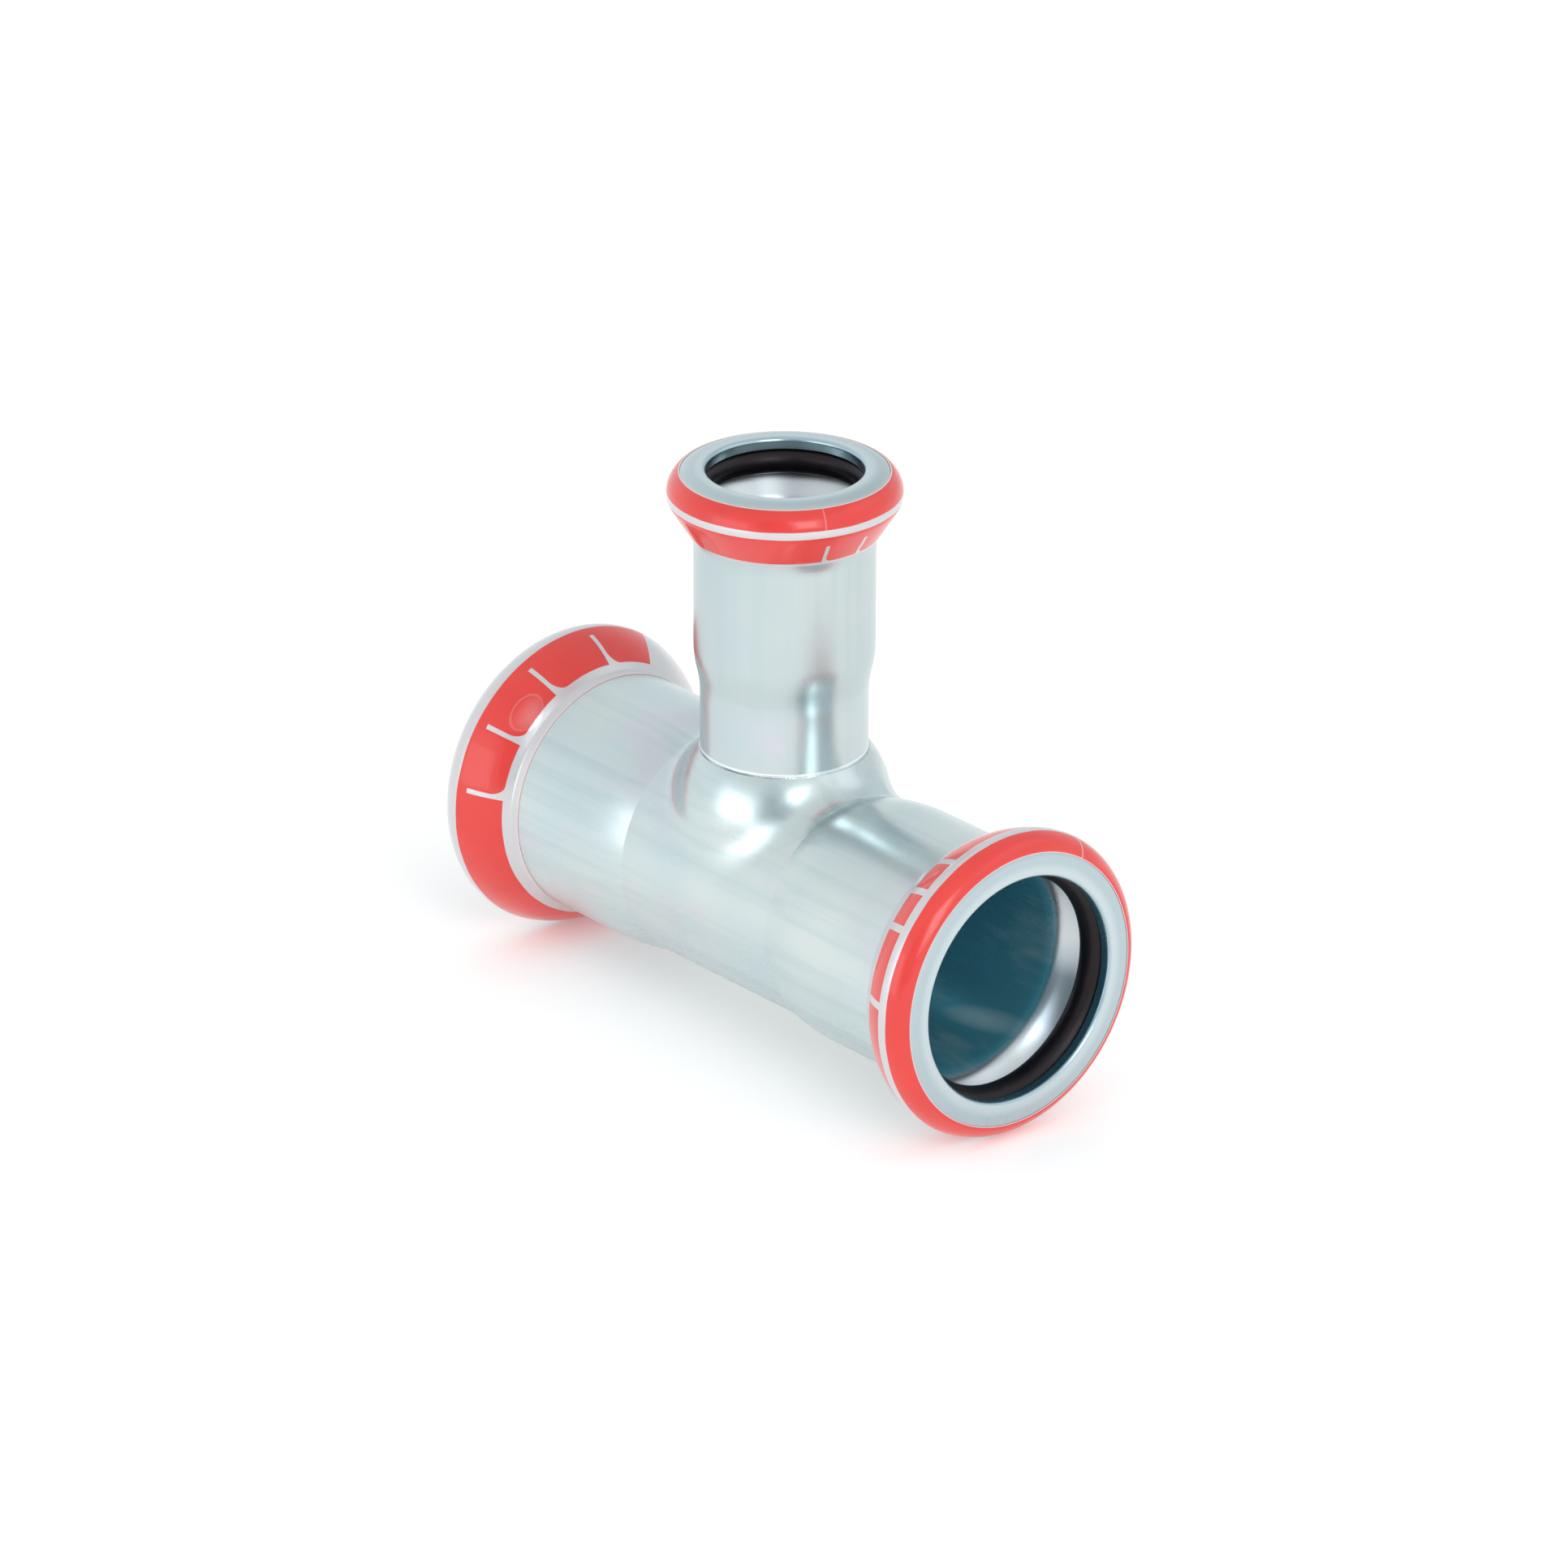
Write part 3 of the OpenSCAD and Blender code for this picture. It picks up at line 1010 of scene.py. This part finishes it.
@dataclass
class DrawnCollar:
    """The collar that is drawn out of the run, and the bend between the two.

    A ball of the bend's radius rolls in the corner between collar and run. The inside of
    the bend is an arc about that ball's centre. The outside fills the corner more softly,
    over a spread that is wider along the run than across it.
    """

    run: float = RUN_WATERWAY + WALL
    radius: float = 10.8
    shoulder: float = 8.4
    fillet: float = 1.6
    wall: float = WALL
    top: float = WELD_HEIGHT - WELD_WIDTH / 2.0
    neck: float = BRANCH_WATERWAY + WALL
    weld_height: float = WELD_HEIGHT
    spread: Point = (2.3, 1.25)
    flare: tuple[float, float, float] = (RUN_STOP - RUN_STEP, RUN_STOP, RUN_SOCKET.tube)
    cut_low: float = 9.0
    cut_top: float = 17.0
    search: float = 3.5
    samples: int = 80
    rounds: int = 60
    bend_steps: int = 12
    run_steps: int = 16
    side_steps: int = 24
    lift: float = 0.006
    lifted: int = 4

    @property
    def curve(self) -> float:
        """Radius of the collar's side above its shoulder."""
        inward = self.radius - self.neck
        up = self.weld_height - self.shoulder
        return (inward * inward + up * up) / (2.0 * inward)

    def side(self, height: float, inset: float = 0.0) -> float:
        """Radius of the collar's side at a height.

        Args:
            height: Height above the run's centre line.
            inset: How far inside the outer skin.

        Returns:
            The radius.
        """
        if height < self.shoulder:
            return self.radius - inset
        arm = self.curve - inset
        return self.radius - self.curve + math.sqrt(
            max(arm ** 2 - (height - self.shoulder) ** 2, 0.0))

    def ball_reach(self, height: float) -> float:
        """Distance of the rolling ball's centre from the branch's axis."""
        if height < self.shoulder:
            return self.radius + self.fillet
        arm = self.curve + self.fillet
        return self.radius - self.curve + math.sqrt(arm ** 2 - (height - self.shoulder) ** 2)

    def rolling(self, turn: float) -> tuple[Vector, Vector, Vector, float]:
        """Find the ball in one direction round the branch.

        Args:
            turn: Direction in radians from +X.

        Returns:
            The ball's centre, the direction to the run, the direction at a right angle
            to it towards the collar, and the angle between both contacts.
        """
        height = self.run
        for _ in range(self.rounds):
            across = self.ball_reach(height) * math.sin(turn)
            height = math.sqrt((self.run + self.fillet) ** 2 - across ** 2)
        reach = self.ball_reach(height)
        out = Vector((math.cos(turn), math.sin(turn), 0.0))
        ball = reach * out + Vector((0.0, 0.0, height))
        to_run = -Vector((0.0, ball.y, ball.z)).normalized()
        lean = Vector((0.0, 0.0, max(height - self.shoulder, 0.0)))
        to_collar = -((reach - self.radius + self.curve) * out + lean).normalized()
        sweep = math.acos(max(-1.0, min(1.0, to_run.dot(to_collar))))
        side = (to_collar - to_collar.dot(to_run) * to_run).normalized()
        return ball, to_run, side, sweep

    def run_radius(self, along: float) -> float:
        """Radius of the run's skin at a distance along it, where it widens too."""
        start, end, wide = self.flare
        rise = wide - self.run
        bow = ((end - start) ** 2 + rise ** 2) / (2.0 * rise)
        back = max(min(end - abs(along), end - start), 0.0)
        return wide - bow + math.sqrt(bow ** 2 - back ** 2)

    def skin(self, point: Vector) -> float:
        """Tell how far a point is outside run and collar, with the corner filled softly."""
        off_run = math.hypot(point.y, point.z) - self.run_radius(point.x)
        reach = math.hypot(point.x, point.y)
        off_collar = reach - self.radius
        if point.z > self.shoulder:
            off_collar = math.hypot(reach - self.radius + self.curve,
                                    point.z - self.shoulder) - self.curve
        wide, tight = self.spread
        soft = tight + (wide - tight) * (point.x / max(reach, 0.001)) ** 2
        share = max(soft - abs(off_run - off_collar), 0.0) / soft
        return min(off_run, off_collar) - share * share * soft / 4.0

    def settle(self, point: Vector) -> Vector:
        """Move a point at a right angle to the skin until it lies on it."""
        step = 0.01
        for _ in range(5):
            slope = Vector([
                (self.skin(point + step * way) - self.skin(point - step * way)) / (2.0 * step)
                for way in (Vector((1, 0, 0)), Vector((0, 1, 0)), Vector((0, 0, 1)))])
            point = point - self.skin(point) * slope / slope.length_squared
        return point

    def outer_skin(self, turn: float) -> list[Vector]:
        """Follow the outside from the plain run over the corner to the collar's top.

        Args:
            turn: Direction in radians from +X.

        Returns:
            The points, the first of them just above the run's skin.
        """
        flat, across = math.cos(turn), abs(math.sin(turn))

        def on_run(reach: float) -> Vector:
            """The run's skin at a distance from the branch's axis."""
            radius = self.run_radius(reach * flat)
            height = math.sqrt(max(radius ** 2 - (reach * across) ** 2, 0.0))
            return Vector((reach * flat, reach * math.sin(turn), height))

        corner = self.run
        for _ in range(self.rounds):
            corner = on_run(self.side(corner)).z
        low = self.side(corner)
        high = min(low + self.search, 0.999 * self.run / max(across, 0.001))
        path = [on_run(low + (high - low) * i / self.samples) for i in range(self.samples + 1)]
        free = [i for i, point in enumerate(path)
                if self.skin(point) >= -0.00002 and i > self.samples // 10]
        path = path[:(free[0] if free else self.samples) + 1][::-1]
        lengths = [0.0]
        for here, there in zip(path, path[1:]):
            lengths.append(lengths[-1] + (there - here).length)
        even: list[Vector] = []
        for i in range(self.run_steps):
            goal = lengths[-1] * i / self.run_steps
            k = max(j for j, length in enumerate(lengths) if length <= goal)
            share = (goal - lengths[k]) / max(lengths[k + 1] - lengths[k], 1e-9)
            even.append(path[k].lerp(path[k + 1], share))
        for i in range(self.side_steps + 1):
            height = corner + (self.top - corner) * i / self.side_steps
            reach = self.side(height)
            even.append(Vector((reach * flat, reach * math.sin(turn), height)))
        placed = [self.settle(point) for point in even[:-1]] + [even[-1]]
        return [point + self.lift * Vector((0.0, point.y, point.z)).normalized()
                for point in placed[:self.lifted]] + placed[self.lifted:]

    def section(self, turn: float) -> list[Vector]:
        """Go once round the wall of bend and collar in one direction.

        Args:
            turn: Direction in radians from +X.

        Returns:
            The corners of the wall's closed section.
        """
        ball, to_run, side, sweep = self.rolling(turn)

        def bend(radius: float) -> list[Vector]:
            """Points on the bend at a radius about the ball, from the collar to the run."""
            angles = [sweep * i / self.bend_steps for i in range(self.bend_steps + 1)]
            return [ball + radius * (math.cos(a) * to_run + math.sin(a) * side)
                    for a in reversed(angles)]

        def wall(low: float, high: float, inset: float) -> list[Vector]:
            """Points on the collar's side between two heights."""
            heights = [low + (high - low) * i / self.side_steps
                       for i in range(1, self.side_steps + 1)]
            return [Vector((self.side(h, inset) * math.cos(turn),
                            self.side(h, inset) * math.sin(turn), h)) for h in heights]

        inner = bend(self.fillet + self.wall)
        inner_neck = self.neck - self.wall
        arm = self.curve - self.wall
        meet = self.shoulder + math.sqrt(
            arm ** 2 - (inner_neck - self.radius + self.curve) ** 2)
        rim = Vector((inner_neck * math.cos(turn), inner_neck * math.sin(turn), self.top))
        down = wall(inner[0].z, meet, self.wall)[::-1]
        return [*self.outer_skin(turn), rim, *down, *inner]

    def cutter_section(self, turn: float) -> list[Vector]:
        """Side of the solid that opens the run under the collar, in one direction.

        Args:
            turn: Direction in radians from +X.

        Returns:
            Corners from inside the run, through the middle of the wall, to above it.
        """
        ball, to_run, side, sweep = self.rolling(turn)
        middle = self.fillet + self.wall / 2.0
        deep = ball + (self.fillet + self.run - self.cut_low) * to_run
        angles = [sweep * i / self.bend_steps for i in range(self.bend_steps + 1)]
        bend = [ball + middle * (math.cos(a) * to_run + math.sin(a) * side) for a in angles]
        above = Vector((bend[-1].x, bend[-1].y, self.cut_top))
        return [deep, *bend, above]

    def loft(self, name: str, cutter: bool) -> bpy.types.Object:
        """Carry the wall, or the cutter's side, once round the branch."""
        turns = [(i + 0.5) * math.tau / TURNS for i in range(TURNS)]
        cut = self.cutter_section if cutter else self.section
        sections = [cut(turn) for turn in turns]
        return Bench.loft(name, [list(ring) for ring in zip(*sections)], capped=cutter)


@dataclass
class RunBody:
    """The formed steel run with its two sockets and the drawn collar."""

    socket: Socket = RUN_SOCKET
    waterway: float = RUN_WATERWAY
    stop: float = RUN_STOP
    step: float = RUN_STEP
    lap: float = 0.2
    collar: DrawnCollar = field(default_factory=DrawnCollar)
    name: str = "formed_run"

    def profile(self) -> list[Point]:
        """The wall's closed section: one half, and its mirror image.

        Returns:
            The points as (radius, distance along the run).
        """
        low = self.stop - self.step
        wide, narrow = self.socket.tube, self.waterway + self.socket.wall
        rise = wide - narrow
        bow = (self.step ** 2 + rise ** 2) / (2.0 * rise)
        half = self.socket.inside(self.waterway, low, self.stop)
        half += self.socket.outside(self.stop + self.lap)
        fall = math.degrees(math.asin(self.step / bow))
        half += arc((wide - bow, self.stop), bow, 0.0, -fall, 2.0)
        return half + [(radius, -height) for radius, height in reversed(half)]

    def build(self) -> bpy.types.Object:
        """Turn the run, open it, set the collar on it and dress it.

        Returns:
            The finished piece.
        """
        body = Bench.turn(self.name, self.profile(), Axis.RUN)
        Bench.cut(body, self.collar.loft("opening", True))
        Bench.join(body, self.collar.loft("collar", False))
        steel = PlatedSteel("plated_run", Axis.RUN, self.socket)
        return dress(Bench.finish(body), steel.make(), "run_body")


@dataclass
class BranchSocket:
    """The smaller socket that is welded to the collar."""

    socket: Socket = BRANCH_SOCKET
    waterway: float = BRANCH_WATERWAY
    stop: float = BRANCH_STOP
    step: float = BRANCH_STEP
    low: float = WELD_HEIGHT + WELD_WIDTH / 2.0
    lap: float = 0.2
    name: str = "branch_tube"

    def profile(self) -> list[Point]:
        """The wall's closed section.

        Returns:
            The points as (radius, height).
        """
        step_low = self.stop - self.step
        wide, narrow = self.socket.tube, self.waterway + self.socket.wall
        rise = wide - narrow
        bow = (self.step ** 2 + rise ** 2) / (4.0 * rise)
        half_turn = math.degrees(math.asin(self.step / 2.0 / bow))
        path = [(self.waterway, self.low)]
        path += self.socket.inside(self.waterway, step_low, self.stop)
        path += self.socket.outside(self.stop + self.lap)
        path += arc((wide - bow, self.stop), bow, 0.0, -half_turn, 2.0)
        path += arc((narrow + bow, step_low), bow, 180.0 - half_turn, 180.0, 2.0)
        return path + [(narrow, self.low)]

    def build(self) -> bpy.types.Object:
        """Turn and dress the socket.

        Returns:
            The finished piece.
        """
        tube = Bench.finish(Bench.turn(self.name, self.profile(), Axis.BRANCH))
        steel = PlatedSteel("plated_branch", Axis.BRANCH, self.socket, rough=0.24, grain=0.12,
                            cool=(0.50, 0.59, 0.605), warm=(0.58, 0.625, 0.615))
        return dress(tube, steel.make(), "branch_socket")


@dataclass
class WeldSeam:
    """The narrow seam between collar and neck."""

    inner: float = BRANCH_WATERWAY
    neck: float = BRANCH_WATERWAY + WALL
    height: float = WELD_HEIGHT
    width: float = WELD_WIDTH
    proud: float = 0.05
    name: str = "weld_bead"

    def profile(self) -> list[Point]:
        """The band in the wall and the bead on it.

        Returns:
            The points as (radius, height).
        """
        low, high = self.height - self.width / 2.0, self.height + self.width / 2.0
        bead = arc((self.neck, self.height), self.proud, -90.0, 90.0, 11.25)
        return [(self.inner, low), (self.neck, low), *bead, (self.neck, high),
                (self.inner, high)]

    def build(self) -> bpy.types.Object:
        """Turn and dress the seam.

        Returns:
            The finished piece.
        """
        seam = Bench.finish(Bench.turn(self.name, self.profile(), Axis.BRANCH), CLEAR_CREASE)
        return dress(seam, WeldBead().make(), "weld_seam")


@dataclass
class FilmBand:
    """A printed film band that is shrunk on a bead."""

    mouth: Mouth
    socket: Socket
    start: float
    end: float
    layout: Print
    gap: float = 0.01
    film: float = 0.15
    hem: float = 0.3

    def profile(self) -> list[Point]:
        """The film's closed section, for a mouth that points up.

        Returns:
            The points as (radius, height).
        """
        low = self.socket.mouth - self.end
        outer = self.socket.outside(low, self.gap + self.film, self.start)
        inner = self.socket.outside(low, self.gap, self.start)
        for end in (0, -1):
            thin = [i + self.hem * (o - i) for i, o in zip(inner[end], outer[end])]
            outer[end] = (thin[0], thin[1])
        return outer + inner[::-1]

    def build(self) -> bpy.types.Object:
        """Turn and dress the band.

        Returns:
            The finished piece.
        """
        name = f"film_band_{self.mouth.value}"
        profile = self.profile()
        if self.mouth is Mouth.BACK:
            profile = [(radius, -height) for radius, height in profile]
        axis = Axis.BRANCH if self.mouth is Mouth.BRANCH else Axis.RUN
        band = Bench.finish(Bench.turn(name, profile, axis), CLEAR_CREASE)
        finish = PrintedFilm(f"printed_film_{self.mouth.value}", self.mouth, self.layout)
        return dress(band, finish.make(), f"indicator_film_{self.mouth.value}")


@dataclass
class SealRings:
    """The three rubber rings keep their exact shape and get a rubber skin."""

    nodes: dict

    def dress(self) -> None:
        """Give each ring its material."""
        rubber = SealRubber().make()
        for mouth in Mouth:
            ring = self.nodes[f"seal_ring_{mouth.value}"]
            ring.material_slots[0].material = rubber
            log.info("seal_ring_%s dressed", mouth.value)


@dataclass(frozen=True)
class Softbox:
    """A rectangular light that points at the tee, sized by the angle that it fills."""

    name: str
    azimuth: float
    elevation: float
    spread: Point
    radiance: float
    distance: float = 0.45
    colour: Colour = (0.95, 0.98, 1.0)

    def place(self, target: Vector) -> None:
        """Hang the light.

        Args:
            target: The point that it faces.
        """
        lamp = bpy.data.lights.new(self.name, "AREA")
        lamp.shape = "RECTANGLE"
        lamp.size, lamp.size_y = (
            2.0 * self.distance * math.tan(math.radians(angle / 2.0)) for angle in self.spread)
        lamp.energy = math.pi * lamp.size * lamp.size_y * self.radiance
        lamp.color = self.colour
        hung = bpy.data.objects.new(self.name, lamp)
        bpy.context.scene.collection.objects.link(hung)
        away = direction(self.azimuth, self.elevation)
        hung.location = target + self.distance * away
        hung.rotation_euler = away.to_track_quat("Z", "Y").to_euler()
        hung.visible_camera = False


def direction(azimuth: float, elevation: float) -> Vector:
    """Unit vector towards an azimuth from +X and an elevation, both in degrees."""
    flat, rise = math.radians(azimuth), math.radians(elevation)
    return Vector((math.cos(flat) * math.cos(rise), math.sin(flat) * math.cos(rise),
                   math.sin(rise)))


@dataclass
class Studio:
    """Pale floor, soft light and the camera of the photograph.

    The camera's turn, rise and roll are in degrees. Its seat is so many millimetres back
    from the origin, and aside and up in its own picture plane.
    """

    floor_height: float = -16.1
    floor_radius: float = 6.0
    floor_sides: int = 96
    floor_dull: Colour = (0.92, 0.90, 0.89)
    floor_pale: Colour = (0.94, 0.92, 0.91)
    floor_glow: float = 0.20
    sky: Colour = (0.95, 0.985, 1.0)
    shade: Colour = (0.86, 0.955, 1.0)
    level: float = 1.07
    overhead_start: float = 0.30
    overhead_rise: float = 0.60
    overhead_loss: float = 0.16
    shades: tuple[tuple[Point, Point, float], ...] = (
        ((-50.0, 17.0), (14.0, 30.0), 0.50), ((102.0, 18.0), (20.0, 48.0), 0.17))
    boxes: tuple[Softbox, ...] = (
        Softbox("left_box", -93.0, 3.0, (36.0, 42.0), 0.95),
        Softbox("left_glow", -93.0, 3.0, (54.0, 60.0), 0.40, 0.47),
        Softbox("right_box", -19.0, 27.0, (18.0, 22.0), 2.6),
        Softbox("right_glow", -19.0, 27.0, (28.0, 32.0), 1.4, 0.47),
        Softbox("top_box", 45.0, 42.0, (54.0, 20.0), 0.34))
    view: tuple[float, float, float] = (49.747, 23.723, 0.145)
    seat: tuple[float, float, float] = (964.265, -0.019, 9.164)
    sensor: float = 36.0
    focal_pixels: float = 11785.33
    picture_pixels: float = 1932.0

    def floor(self) -> None:
        """Lay the floor."""
        Bench.clear()
        bpy.ops.mesh.primitive_circle_add(vertices=self.floor_sides, radius=self.floor_radius,
                                          fill_type="NGON",
                                          location=(0.0, 0.0, self.floor_height * MM))
        ground = bpy.context.object
        ground.name = "studio_floor"
        bpy.ops.object.transform_apply(location=True, rotation=True, scale=True)
        made, nodes = material("pale_floor")
        mottle = nodes.noise((0.01, 0.01, 0.01), 2.0)
        surface(nodes, {
            "Base Color": nodes.blend(mottle, self.floor_dull, self.floor_pale),
            "Roughness": 0.9, "Specular IOR Level": 0.1,
            "Emission Color": (1.0, 1.0, 1.0, 1.0), "Emission Strength": self.floor_glow})
        ground.data.materials.append(made)

    def light(self) -> None:
        """Set the sky and hang the softboxes."""
        world = bpy.context.scene.world or bpy.data.worlds.new("studio")
        bpy.context.scene.world = world
        world.use_nodes = True
        nodes = Nodes(world.node_tree)
        view = nodes.add("ShaderNodeTexCoord").outputs["Generated"]
        parts = nodes.add("ShaderNodeSeparateXYZ", None, {0: view})
        height = Signal(nodes, parts.outputs[2])
        overhead = (height - self.overhead_start) / self.overhead_rise
        overhead = overhead.most(0.0).least(1.0)
        strength = self.level * (1.0 - overhead * self.overhead_loss)
        colour = nodes.blend(0.0, self.sky, self.shade)
        for middle, widths, loss in self.shades:
            towards = nodes.add("ShaderNodeVectorMath", {"operation": "DOT_PRODUCT"},
                                {0: view, 1: tuple(direction(*middle))})
            inner, outer = (math.cos(math.radians(width)) for width in widths)
            near = (Signal(nodes, towards.outputs["Value"]) - outer) / (inner - outer)
            dark = near.most(0.0).least(1.0)
            strength = strength * (1.0 - dark * loss)
            colour = nodes.blend(dark * min(1.0, loss * 2.0), colour, self.shade)
        sky = nodes.add("ShaderNodeBackground", None, {"Color": colour, "Strength": strength})
        nodes.add("ShaderNodeOutputWorld", None, {"Surface": sky.outputs[0]})
        for box in self.boxes:
            box.place(Vector((0.0, 0.0, 0.0)))

    def camera(self) -> None:
        """Set up the camera where the photograph was taken."""
        turn, rise, roll = (math.radians(angle) for angle in self.view)
        right = Vector((math.cos(turn), math.sin(turn), 0.0))
        back = Vector((math.sin(turn) * math.cos(rise), -math.cos(turn) * math.cos(rise),
                       math.sin(rise)))
        up = back.cross(right)
        away, aside, above = self.seat
        place = back * away + right * aside + up * above
        side = right * math.cos(roll) + up * math.sin(roll)
        head = -right * math.sin(roll) + up * math.cos(roll)
        lens = bpy.data.cameras.new("camera")
        lens.sensor_width = self.sensor
        lens.sensor_fit = "HORIZONTAL"
        lens.lens = self.focal_pixels / self.picture_pixels * self.sensor
        lens.clip_start, lens.clip_end = 0.01, 50.0
        seat = bpy.data.objects.new("camera", lens)
        frame = Matrix((side, head, back)).transposed().to_4x4()
        seat.matrix_world = Matrix.Translation(place * MM) @ frame
        bpy.context.scene.collection.objects.link(seat)
        bpy.context.scene.camera = seat

    def build(self) -> None:
        """Build the whole studio."""
        self.floor()
        self.light()
        self.camera()
        bpy.context.scene.view_settings.view_transform = "Standard"


def main() -> None:
    """Load the frame, build and dress every piece, and set up the studio."""
    logging.basicConfig(level=logging.INFO, format="%(name)s: %(message)s")
    for item in [o for o in bpy.data.objects if o.name in ("Cube", "Light", "Camera")]:
        bpy.data.objects.remove(item, do_unlink=True)
    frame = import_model()
    Studio().build()
    films = (FilmBand(Mouth.FRONT, RUN_SOCKET, 0.85, 7.4, FRONT_PRINT),
             FilmBand(Mouth.BACK, RUN_SOCKET, 0.85, 9.0, BACK_PRINT),
             FilmBand(Mouth.BRANCH, BRANCH_SOCKET, 1.5, 6.8, BRANCH_PRINT))
    for maker in (RunBody(), BranchSocket(), WeldSeam(), *films):
        piece = maker.build()
        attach(piece, "root")
        log.info("%s: %d faces", piece.name, len(piece.data.polygons))
    SealRings(frame["nodes"]).dress()


if __name__ == "__main__":
    main()
